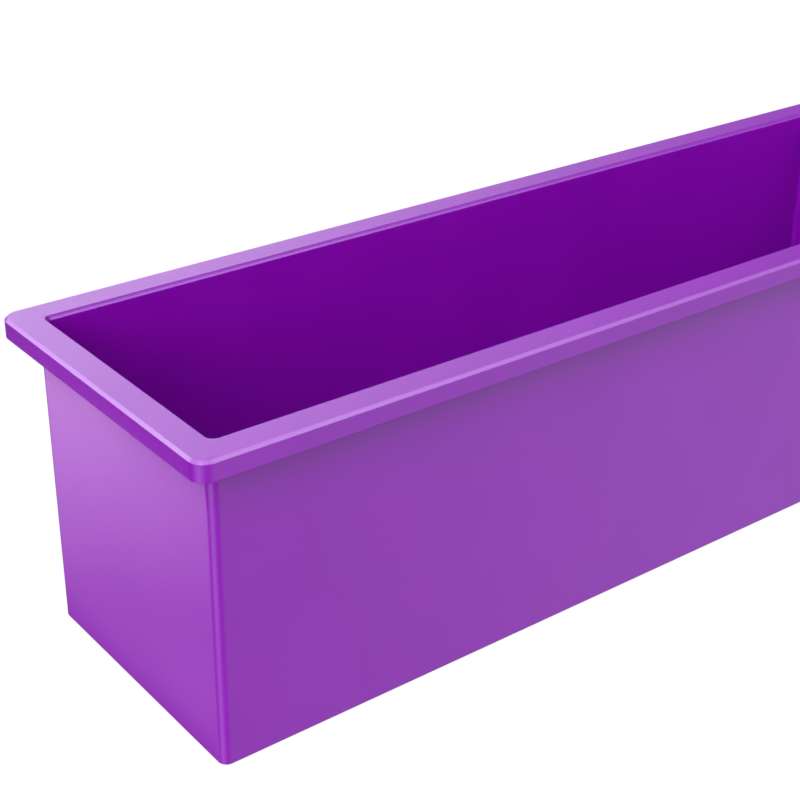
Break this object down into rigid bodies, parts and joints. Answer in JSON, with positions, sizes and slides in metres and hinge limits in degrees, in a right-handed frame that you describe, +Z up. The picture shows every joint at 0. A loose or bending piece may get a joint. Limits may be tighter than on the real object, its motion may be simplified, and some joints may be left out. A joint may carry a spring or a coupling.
{
  "type": "soap loaf mould",
  "caption": "Long open silicone trough with a flat overhanging rim and a shallow drop round its mouth, for casting a soap loaf.",
  "frame": {"origin": "centre of the flat underside, on the surface the mould stands on", "axes": "+X along the loaf, +Y across it, +Z up through the open mouth"},
  "size_m": [0.263, 0.082, 0.0764],
  "materials": {
    "silicone": "satin"
  },
  "bodies": {
    "root": {"silicone_mould": "silicone"}
  },
  "joints": []
}
